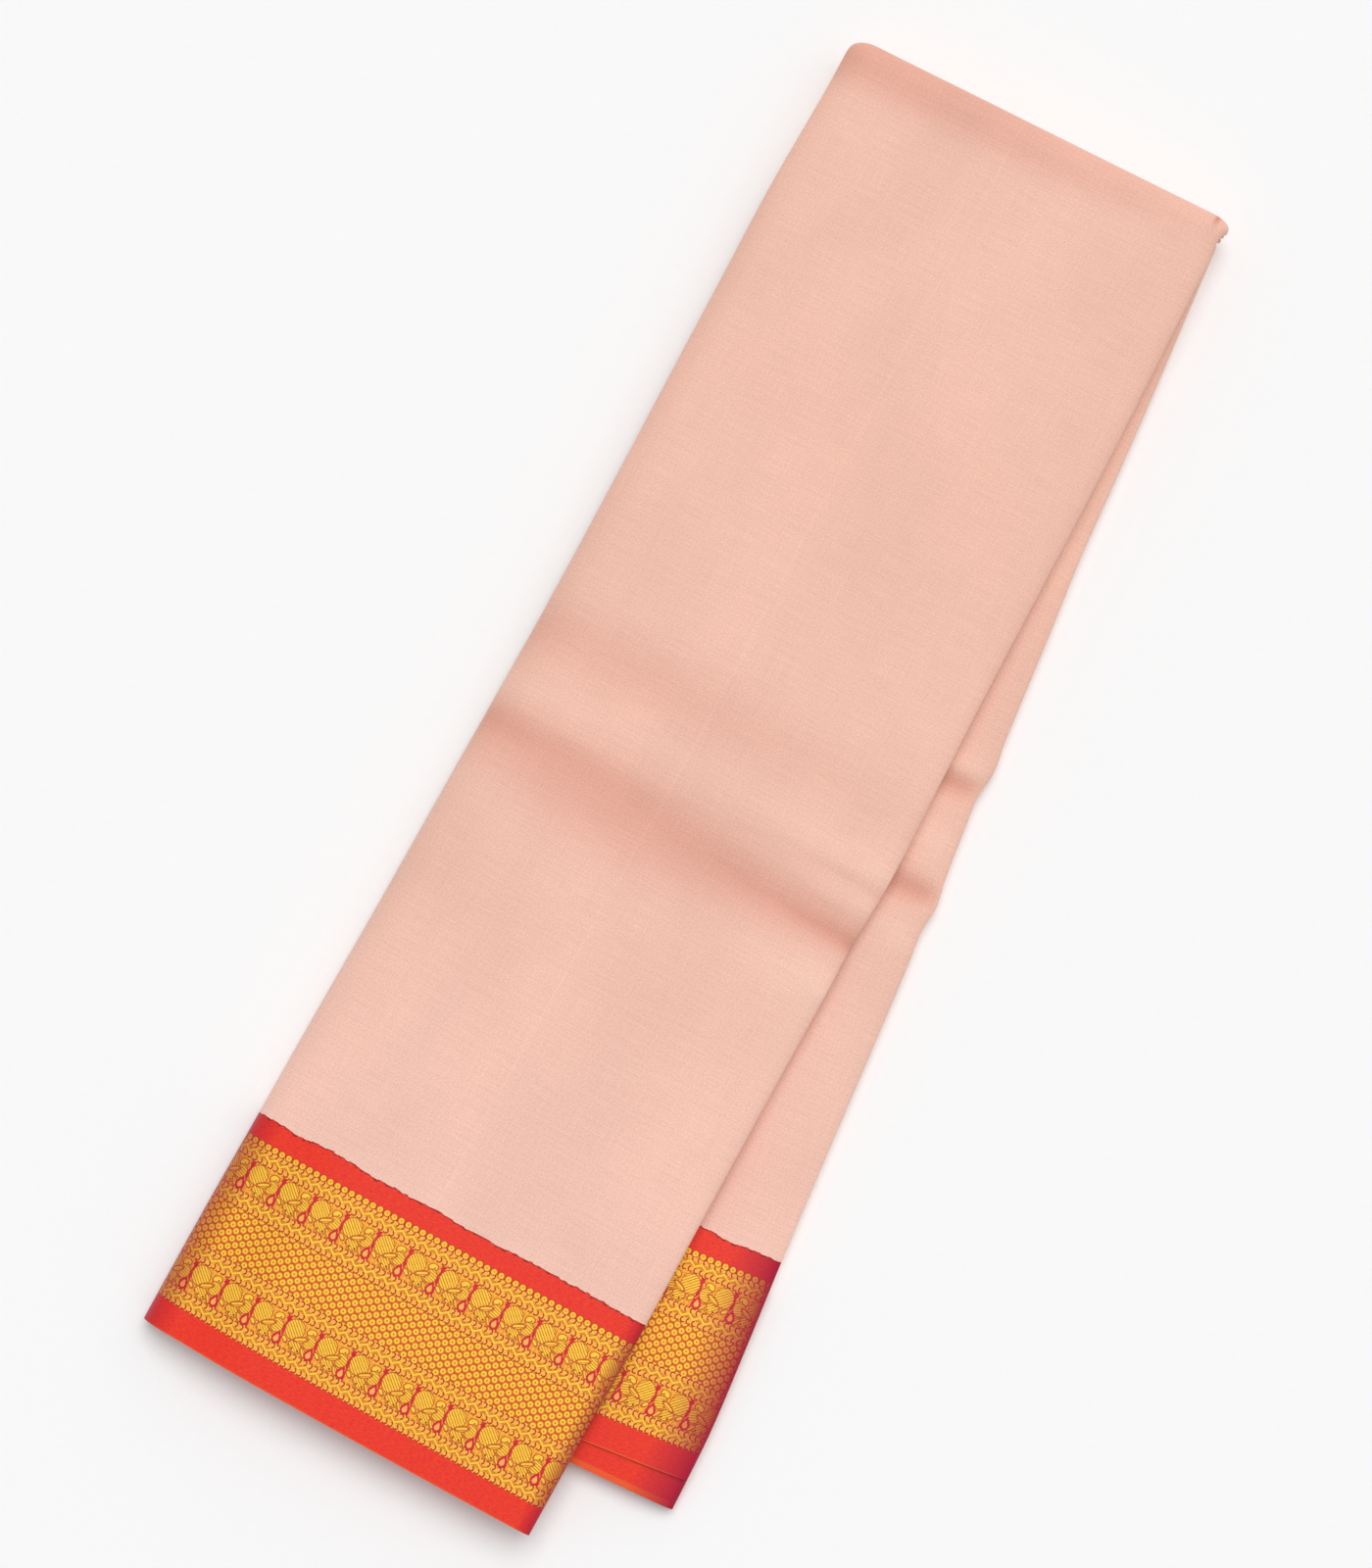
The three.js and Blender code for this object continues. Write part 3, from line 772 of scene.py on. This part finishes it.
def hooks(tree, across, beside):
    """A row of pale blocks, each with a dark hook round one side."""
    cell = repeat(tree, across, CELL)
    spot = add(tree, "CombineXYZ", cell, beside)
    place, size = (BLOCK_ACROSS, 0, 0), (BLOCK_REACH, BLOCK_REACH, 1)
    block = add(tree, "Mapping", spot, place, None, size, vector_type="TEXTURE")
    block = add(tree, "SeparateXYZ", add(tree, "VectorMath ABSOLUTE", block))
    edge = add(tree, "Math MAXIMUM", block, block.node.outputs[1])
    colour = paint(tree, GOLD, mask_below(tree, edge, 1, BLOCK_SOFT), PALE_GOLD)
    round_it = add(tree, "VectorMath DISTANCE", spot, (HOOK_ACROSS, 0, 0), out=1)
    ring = add(tree, "Math ABSOLUTE", add(tree, "Math SUBTRACT", round_it, HOOK_RADIUS))
    open_side = add(tree, "Math MULTIPLY", beside, HOOK_OPEN_SLOPE)
    open_side = add(tree, "Math SUBTRACT", open_side, cell)
    kept = mask_below(tree, open_side, HOOK_OPEN_FROM, HOOK_OPEN_SOFT)
    hook = mask_below(tree, ring, HOOK_HALF_WIDTH, LINE_SOFT)
    hook = add(tree, "Math MULTIPLY", hook, kept)
    return paint(tree, colour, hook, BROWN)


def chevron(tree, across, beside):
    """A bright zigzag between two thin dark lines."""
    wave = add(tree, "Math PINGPONG", across, CELL)
    line = add(tree, "Math MULTIPLY_ADD", wave, CHEVRON_SLOPE, -CHEVRON_SLOPE / 2 * CELL)
    distance = add(tree, "Math ABSOLUTE", add(tree, "Math SUBTRACT", beside, line))
    stops = (
        (0, BRIGHT_GOLD), (0.42, BRIGHT_GOLD), (0.58, OLIVE), (0.74, OLIVE), (0.9, ORANGE_GOLD),
        (1.1, GOLD), (1.3, BROWN), (1.42, BROWN), (1.56, PALE_GOLD),
    )
    return by_distance(tree, distance, stops)


def beads(tree, across, up):
    """Round beads of zari along the top of the border: their colour, and where they are."""
    spot = add(tree, "CombineXYZ", repeat(tree, across, BEAD_PITCH), up)
    distance = add(tree, "VectorMath DISTANCE", spot, (0, BEAD_ROW, 0), out=1)
    stops = (
        (0, OLIVE), (0.25, OLIVE), (0.4, BRIGHT_GOLD), (1.15, GOLD), (1.3, BROWN), (1.5, BROWN),
    )
    in_bead = mask_below(tree, distance, BEAD_RADIUS, BAND_SOFT)
    return by_distance(tree, distance, stops), in_bead


def birds(tree, across, up):
    """A row of birds in profile, of lined ovals, with bare red silk between them."""
    low = add(tree, "Math SUBTRACT", up, BORDER_MIDDLE - BIRD_ROW - BIRD_ROW_REACH)
    low = add(tree, "Math FLOORED_MODULO", low, 2 * BIRD_ROW)
    start = add(tree, "Math SUBTRACT", across, BIRD_START)
    spot = add(tree, "CombineXYZ", add(tree, "Math FLOORED_MODULO", start, BIRD_PITCH), low)
    curl = add(tree, "VectorMath SCALE", spot, named={"Scale": CURL_TURNS})
    curl = add(tree, "VectorMath LENGTH", add(tree, "VectorMath SINE", curl), out=1)
    block = mask_below(tree, curl, CURL_BLOCK, CURL_BLOCK_SOFT)
    colour = paint(tree, GOLD, block, PALE_GOLD)
    ring = add(tree, "Math ABSOLUTE", add(tree, "Math SUBTRACT", curl, CURL_RING))
    ring = mask_below(tree, ring, CURL_HALF_WIDTH, BAND_SOFT)
    colour = paint(tree, colour, ring, RUST)
    for shape in BIRD_OVALS:
        edge = oval(tree, spot, shape)
        colour = paint(tree, colour, mask_below(tree, edge, OUTLINE, LINE_SOFT), RUST)
        thread = lines(tree, spot, shape["slant"], shape["pitch"], LINE_WIDTH)
        filled = paint(tree, BRIGHT_GOLD, thread, OLIVE)
        inside = mask_below(tree, edge, -OUTLINE, LINE_SOFT)
        colour = paint(tree, colour, inside, filled)
    for shape in FEET_OVALS:
        foot = mask_below(tree, oval(tree, spot, shape), 0, FEET_SOFT)
        colour = paint(tree, colour, foot, BROWN)
    gap_start = add(tree, "Math ADD", start, BIRD_PITCH / 2)
    gap_across = add(tree, "Math FLOORED_MODULO", gap_start, BIRD_PITCH)
    gap_across = add(tree, "Math SUBTRACT", gap_across, BIRD_PITCH / 2)
    gap = add(tree, "CombineXYZ", gap_across, low)
    for shapes, code in ((GAP_OVALS, BARE_RED), (DROP_OVALS, PALE_GOLD)):
        for shape in shapes:
            bare = mask_below(tree, oval(tree, gap, shape), 0, BARE_SOFT)
            colour = paint(tree, colour, bare, code)
    return colour


def threads(tree, place, scale):
    """Noise on the weave, at a number of grains to the millimetre across and up."""
    spot = add(tree, "VectorMath MULTIPLY", place, (*scale, 0))
    return add(tree, "TexNoise", spot, named={"Scale": 1}, noise_dimensions="2D")


# Painted shade: how much darker and redder the silk is painted in a full trough than on flat silk;
# on a ridge it is painted lighter by the same amounts
PAINTED_CREASE_SHADE = (-0.13, -0.28, -0.31)

# Faint paler line lengthwise on the body, along an older fold
OLD_FOLD_ACROSS = -5.5
OLD_FOLD_REACH = 0.9
OLD_FOLD_SHADE = 1.035

# Heights up the weave over which the body turns from pink to peach
PINK_TO = 90
PEACH_FROM = 300

# Grains of the body, from broad clouds and slubs both ways to its threads: how many to the
# millimetre across and up, and the shades that each one varies between
SILK_GRAINS = table(
    "across up dark light",
    (0.02, 0.012, 0.97, 1.03),
    (0.05, 1.3, 0.97, 1.03),
    (1.3, 0.05, 0.98, 1.02),
    (1.5, 1.5, 0.92, 1.08),
)
SILK_ROUGHNESS = 0.5
SILK_SHEEN = 0.2

# Orange flecks of the shot red silk, and its orange weft along the hem
FLECK_GRAIN = (0.5, 2)
FLECK_RANGE = (0.35, 0.7)
HEM_EDGE = 0.5
HEM_EDGE_SOFT = 0.4

# Ragged join of red and peach: where it lies at its lowest, the rise of its slow wave and of its
# steps, their grain and length, and the thickness of its dark line
JOIN_LOW = BORDER_TOP - 2.6
JOIN_WAVE = 5
JOIN_WAVE_GRAIN = (0.028, 0)
JOIN_RAGGED = 0.55
JOIN_STEP = 1.7
JOIN_SOFT = 0.15
JOIN_THICK = (0.25, 0.95)
JOIN_THICK_GRAIN = (0.4, 0)
JOIN_THICK_RANGE = (0.4, 0.65)

# Low relief of the threads, and how silk shines
THREAD_RELIEF = 0.06
THREAD_RELIEF_STRENGTH = 0.6
SILK_SPECULAR = 0.22
SHEEN_ROUGHNESS = 0.35


def peach_silk(tree, place, across, up):
    """Colour of the plain silk body, pinker by the border, with shade painted into its creases and
    light painted onto its ridges, and with slubs and grain drawn coarser than real threads, which are
    too fine to show."""
    part = add(tree, "MapRange", up, PINK_TO, PEACH_FROM, 0, 1)
    colour = paint(tree, PEACH_LOW, part, PEACH_HIGH)
    # Painted shade: darker and redder in creased troughs, lighter on ridges
    painted_crease_shade = add(tree, "Attribute", attribute_name="press", attribute_type="GEOMETRY", out=2)
    shade = add(tree, "VectorMath SCALE", PAINTED_CREASE_SHADE, named={"Scale": painted_crease_shade})
    colour = add(tree, "VectorMath MULTIPLY_ADD", shade, colour, colour)
    beside = add(tree, "Math ABSOLUTE", add(tree, "Math SUBTRACT", across, OLD_FOLD_ACROSS))
    pale = add(tree, "MapRange", beside, 0, OLD_FOLD_REACH, OLD_FOLD_SHADE, 1)
    for row in SILK_GRAINS:
        grain = threads(tree, place, (row["across"], row["up"]))
        shade = add(tree, "MapRange", grain, *NOISE_RANGE, row["dark"], row["light"])
        colour = add(tree, "VectorMath SCALE", colour, named={"Scale": shade})
    return add(tree, "VectorMath SCALE", colour, named={"Scale": pale})


def red_silk(tree, place, up):
    """Colour of the shot red silk, with its orange weft showing at the hem's edge."""
    fleck = add(tree, "MapRange", threads(tree, place, FLECK_GRAIN), *FLECK_RANGE, 0, 1)
    colour = paint(tree, RED, fleck, ORANGE_RED)
    return paint(tree, colour, mask_below(tree, up, HEM_EDGE, HEM_EDGE_SOFT), HEM_ORANGE)


def past_join(tree, place, across, up):
    """1 on the body, past the ragged join where the border's silk is linked in, and the join."""
    steps = add(tree, "Math SNAP", across, JOIN_STEP)
    ragged = add(tree, "TexWhiteNoise", named={"W": steps}, noise_dimensions="1D")
    wave = threads(tree, place, JOIN_WAVE_GRAIN)
    edge = add(tree, "Math MULTIPLY_ADD", wave, JOIN_WAVE, JOIN_LOW)
    edge = add(tree, "Math MULTIPLY_ADD", ragged, JOIN_RAGGED, edge)
    above = add(tree, "Math SUBTRACT", up, edge)
    body = mask_below(tree, add(tree, "Math MULTIPLY", above, -1), 0, JOIN_SOFT)
    thick = threads(tree, place, JOIN_THICK_GRAIN)
    thick = add(tree, "MapRange", thick, *JOIN_THICK_RANGE, *JOIN_THICK)
    below = add(tree, "Math ADD", above, thick)
    return body, add(tree, "Math GREATER_THAN", below, 0)


def finish_silk(material, colour, bump, roughness, metallic, sheen):
    """Silk: its colour, low threads, a soft gloss and a pale sheen at grazing angles."""
    tree = material.node_tree
    relief = {"Height": bump, "Distance": THREAD_RELIEF * MM, "Strength": THREAD_RELIEF_STRENGTH}
    thread = add(tree, "Bump", named=relief)
    shader = tree.nodes["Principled BSDF"]
    for name, value in (("Base Color", colour), ("Normal", thread), ("Metallic", metallic)):
        if isinstance(value, bpy.types.NodeSocket):
            tree.links.new(value, shader.inputs[name])
        else:
            shader.inputs[name].default_value = value
    shader.inputs["Roughness"].default_value = roughness
    shader.inputs["Specular IOR Level"].default_value = SILK_SPECULAR
    shader.inputs["Sheen Weight"].default_value = sheen
    shader.inputs["Sheen Roughness"].default_value = SHEEN_ROUGHNESS


def new_material(name):
    material = bpy.data.materials.new(name)
    material.use_nodes = True
    return material, material.node_tree


def zari_border():
    """Brocade of zari, gold-wrapped thread, on shot red silk: bright raised gold lines over dark
    red hollows, with shade and a crimson sheen painted on where the cloth turns away at a fold."""
    material, tree = new_material("zari brocade on shot red silk, handwoven")
    place, across, up, turn = weave_place(tree)
    middle = add(tree, "Math ABSOLUTE", add(tree, "Math SUBTRACT", up, BORDER_MIDDLE))
    bird = add(tree, "Math ABSOLUTE", add(tree, "Math SUBTRACT", middle, BIRD_ROW))
    band = add(tree, "Math SUBTRACT", bird, CHEVRON_ROW)
    from_band = add(tree, "Math ABSOLUTE", band)
    colour, near_eyelet = eyelets(tree, place)
    beside = add(tree, "Math SUBTRACT", from_band, HOOK_ROW)
    near_band = mask_below(tree, from_band, HOOK_ROW + BAND_REACH, BAND_SOFT)
    colour = paint(tree, colour, near_band, hooks(tree, across, beside))
    in_chevron = mask_below(tree, from_band, BAND_REACH, BAND_SOFT)
    colour = paint(tree, colour, in_chevron, chevron(tree, across, band))
    in_birds = mask_below(tree, bird, BIRD_ROW_REACH, BAND_SOFT)
    colour = paint(tree, colour, in_birds, birds(tree, across, up))
    in_zari = mask_below(tree, middle, ZARI_REACH, BAND_SOFT)
    colour = paint(tree, red_silk(tree, place, up), in_zari, colour)
    bead_colour, in_bead = beads(tree, across, up)
    colour = paint(tree, colour, in_bead, bead_colour)
    # Painted shade and crimson sheen where the cloth turns away at a fold
    dull = add(tree, "Math POWER", turn, FOLD_PAINTED_SHADE_CURVE)
    dull = add(tree, "Math MULTIPLY", dull, FOLD_PAINTED_SHADE)
    colour = paint(tree, colour, dull, FOLD_SHADE_CRIMSON)
    grain = threads(tree, place, THREAD_GRAIN)
    grain = add(tree, "MapRange", grain, *NOISE_RANGE, *ZARI_GRAIN)
    colour = add(tree, "VectorMath SCALE", colour, named={"Scale": grain})
    body, joined = past_join(tree, place, across, up)
    colour = paint(tree, colour, joined, DARK_RED)
    colour = paint(tree, colour, body, peach_silk(tree, place, across, up))
    zari = add(tree, "Math MAXIMUM", in_zari, in_bead)
    raised = add(tree, "MapRange", near_eyelet, RAISED_TO, RAISED_FROM, 1, 0)
    raised = add(tree, "Math MULTIPLY", raised, zari)
    height = add(tree, "Math ADD", raised, grain)
    metal = add(tree, "Math MULTIPLY", zari, ZARI_METAL)
    finish_silk(material, colour, height, ZARI_ROUGHNESS, metal, ZARI_SHEEN)
    return material


def body_silk():
    """Plain woven mulberry silk in peach: a soft gloss, faint slubs both ways and a fine grain."""
    material, tree = new_material("peach mulberry silk, plain handwoven")
    place, across, up, _ = weave_place(tree)
    colour = peach_silk(tree, place, across, up)
    grain = threads(tree, place, THREAD_GRAIN)
    finish_silk(material, colour, grain, SILK_ROUGHNESS, 0, SILK_SHEEN)
    return material


# Board under the saree: grains to the metre, the shades they vary between, and its roughness
FLOOR_GRAIN = 300
FLOOR_SHADES = (0.97, 0.99)
FLOOR_ROUGHNESS = 0.9


def plain_floor():
    """Matt white board, for the surface that the saree lies on."""
    material, tree = new_material("matt white board")
    spot = add(tree, "TexCoord", out=3)
    grain = add(tree, "TexNoise", spot, named={"Scale": FLOOR_GRAIN})
    shade = add(tree, "MapRange", grain, 0, 1, *FLOOR_SHADES)
    tree.links.new(shade, tree.nodes["Principled BSDF"].inputs["Base Color"])
    tree.nodes["Principled BSDF"].inputs["Roughness"].default_value = FLOOR_ROUGHNESS
    return material


zari = zari_border()
peach = body_silk()


def laid(place, folds, row, up, weave_up):
    """A row of the cloth laid over a half's stack."""
    return cloth_row(place(up), stack_line(folds, row_width(row)), weave_up)


def laid_back(up, weave_up, depth=0):
    """A row over the back half, where the cloth's other end lies and its weave is mirrored."""
    line = stack_line(BACK_FOLDS, row_width(back_row(up)))
    return cloth_row(place_back(up, depth > 0), deeper(line, depth), weave_up, facing=-1)


def front_silk():
    """The body of the front half, which turns over the top fold and runs back on the underside."""
    rows = [
        laid(place_front, FRONT_FOLDS, front_row(up), up, up)
        for up in heights(BORDER_TOP, TOP_FOLD_UP)[:-1]
    ]
    top_row = front_row(TOP_FOLD_UP)
    turn_length = math.pi * (FLAP_HEIGHT + PARTING / 2)
    for step in range(TURN_STEPS):
        angle = math.pi * step / TURN_STEPS
        folds = mixed_folds(FRONT_FOLDS, UNDER_FOLDS, angle / math.pi)
        line = stack_line(folds, row_width(top_row))
        weave_up = TOP_FOLD_UP + turn_length * step / TURN_STEPS
        rows.append(cloth_row(place_turn(angle), line, weave_up))
    for up in reversed(heights(BACK_BORDER_TOP, TOP_FOLD_UP)):
        weave_up = TOP_FOLD_UP + turn_length + TOP_FOLD_UP - up
        rows.append(laid(place_under, UNDER_FOLDS, back_row(up), up, weave_up))
    return rows


def front_zari():
    ups = heights(0, BORDER_TOP, BORDER_STEP)
    return [laid(place_front, FRONT_FOLDS, front_row(up), up, up) for up in ups]


def back_silk():
    ups = heights(BACK_BORDER_TOP, TOP_FOLD_UP)
    return [laid_back(up, up - BACK_HEM) for up in ups]


def back_zari():
    ups = heights(BACK_HEM, BACK_BORDER_TOP, BORDER_STEP)
    return [laid_back(up, up - BACK_HEM) for up in ups]


def lower_hem():
    ups = heights(BACK_LOWER_HEM, BACK_LOWER_HEM + BACK_HEM_OVERLAP, BORDER_STEP)
    return [laid_back(up, up - BACK_LOWER_HEM - HEM_TURNED, LAYER) for up in ups]


def under_zari():
    ups = reversed(heights(BACK_LOWER_HEM, BACK_BORDER_TOP, BORDER_STEP))
    return [
        laid(place_under, UNDER_FOLDS, back_row(up), up, up - BACK_LOWER_HEM) for up in ups
    ]


def front_loops():
    """The loops inside the front half, which turn round the top fold inside its outer cloth."""
    grids = []
    for loop in LOOPS:
        rows = [
            cloth_row(place_front(up), loop_line(loop, row_width(front_row(up))), up - loop["hem"])
            for up in heights(loop["hem"], TOP_FOLD_UP, LOOP_STEP)[:-1]
        ]
        line = loop_line(loop, row_width(front_row(TOP_FOLD_UP)))
        for step in range(TURN_STEPS + 1):
            angle = math.pi * step / TURN_STEPS
            rows.append(cloth_row(place_turn(angle), line, TOP_FOLD_UP))
        grids.append(rows)
    return grids


def back_loops():
    """The loops inside the back half, which take over from the front half's at the top fold."""
    grids = []
    for front, back in zip(LOOPS, BACK_LOOPS):
        turned = front | {"low": FLAP_HEIGHT - front["high"], "high": FLAP_HEIGHT - front["low"]}
        rows = []
        for up in heights(BACK_LOWER_HEM + back["hem"], TOP_FOLD_UP, LOOP_STEP):
            spread = ease((up - LOOPS_SPREAD_FROM) / (TOP_FOLD_UP - LOOPS_SPREAD_FROM))
            loop = {name: mix(back[name], turned[name], spread) for name in back}
            line = loop_line(loop, row_width(back_row(up)))
            weave_up = up - BACK_LOWER_HEM - back["hem"]
            rows.append(cloth_row(place_back(up, lower=True), line, weave_up))
        grids.append(rows)
    return grids


def cloth_area(grids):
    """Width along the rows and length up the middle, in metres, before the cloth was folded."""
    widest = grids[0][len(grids[0]) // 2]
    width = sum((a[0] - b[0]).to_3d().length for a, b in zip(widest, widest[1:])) * MM
    length = 0
    for rows in grids:
        middle = [row[len(row) // 2][0].to_3d() for row in rows]
        length += sum((low - high).length for low, high in zip(middle, middle[1:])) * MM
    return width, length


PIECES = (
    ("front_silk", [front_silk()], (zari, peach), "peach_silk", ("front_panel", "under_panel")),
    ("front_zari", [front_zari()], (zari,), "zari_border", ("front_border",)),
    ("back_silk", [back_silk()], (zari, peach), "peach_silk", ("back_panel",)),
    ("back_zari", [back_zari()], (zari,), "zari_border", ("back_border",)),
    ("lower_hem", [lower_hem()], (zari,), "red_silk", ("back_lower_hem",)),
    ("under_zari", [under_zari()], (zari, peach), "zari_border", ("under_border",)),
    ("front_loops", front_loops(), (zari, peach), "folded_layers", ("front_layers",)),
    ("back_loops", back_loops(), (zari, peach), "folded_layers", ("back_layers",)),
)
for name, grids, materials, slot, nodes in PIECES:
    piece = cloth_piece(name, grids, materials, slot, nodes, closed=slot == "folded_layers")
    cloth_area(grids)


# Camera, at the photograph's angle to the cloth: its view turned and tipped against the strip
CAMERA_ROLL = math.radians(28.375)
CAMERA_TILT = math.radians(7.887)
CAMERA_TARGET = Vector((87.872 - CENTRE_ACROSS, 289.017 - CENTRE_UP, 20)) * MM
CAMERA_DISTANCE = 1.18418
CAMERA_LENS = 67.5
CAMERA_SENSOR = 36
CAMERA_NEAR = 0.01

level_up = Vector((-math.sin(CAMERA_ROLL), math.cos(CAMERA_ROLL), 0))
view_right = Vector((math.cos(CAMERA_ROLL), math.sin(CAMERA_ROLL), 0))
overhead = Vector((0, 0, 1))
view_back = overhead * math.cos(CAMERA_TILT) - level_up * math.sin(CAMERA_TILT)
view_up = level_up * math.cos(CAMERA_TILT) + overhead * math.sin(CAMERA_TILT)


def from_axes(right, up, back, place):
    """A matrix at a place, looking against its back axis."""
    turned = Matrix((right, up, back)).transposed().to_4x4()
    return Matrix.Translation(place) @ turned


camera = bpy.data.objects.new("camera", bpy.data.cameras.new("camera"))
camera.data.lens = CAMERA_LENS
camera.data.sensor_width = CAMERA_SENSOR
camera.data.clip_start = CAMERA_NEAR
camera.matrix_world = from_axes(
    view_right, view_up, view_back, CAMERA_TARGET + view_back * CAMERA_DISTANCE
)
bpy.context.scene.collection.objects.link(camera)
bpy.context.scene.camera = camera


# Light: a broad soft key from the far side of the view, a weak fill, and a pale room
LIGHTS = table(
    "name right up over spread strength",
    ("key", 0.12, 0.4, 1, 45, 1.62),
    ("fill", 0.6, 0.2, 0.8, 60, 0.28),
)
ROOM_LIGHT = 0.42

for light in LIGHTS:
    lamp = bpy.data.lights.new(light["name"], "SUN")
    lamp.angle = math.radians(light["spread"])
    lamp.energy = light["strength"]
    away = view_right * light["right"] + level_up * light["up"] + overhead * light["over"]
    holder = bpy.data.objects.new(light["name"], lamp)
    holder.rotation_mode = "QUATERNION"
    holder.rotation_quaternion = away.to_track_quat("Z", "Y")
    bpy.context.scene.collection.objects.link(holder)

room = bpy.data.worlds.new("pale room")
room.use_nodes = True
room.node_tree.nodes["Background"].inputs["Color"].default_value = linear("#ffffff")
room.node_tree.nodes["Background"].inputs["Strength"].default_value = ROOM_LIGHT
bpy.context.scene.world = room
bpy.context.scene.view_settings.view_transform = "Standard"

FLOOR_SIZE = 6
floor_maker = bmesh.new()
bmesh.ops.create_grid(floor_maker, x_segments=1, y_segments=1, size=FLOOR_SIZE / 2)
floor_mesh = bpy.data.meshes.new("floor")
floor_maker.to_mesh(floor_mesh)
floor_maker.free()
floor_mesh.materials.append(plain_floor())
floor = bpy.data.objects.new("floor", floor_mesh)
bpy.context.scene.collection.objects.link(floor)
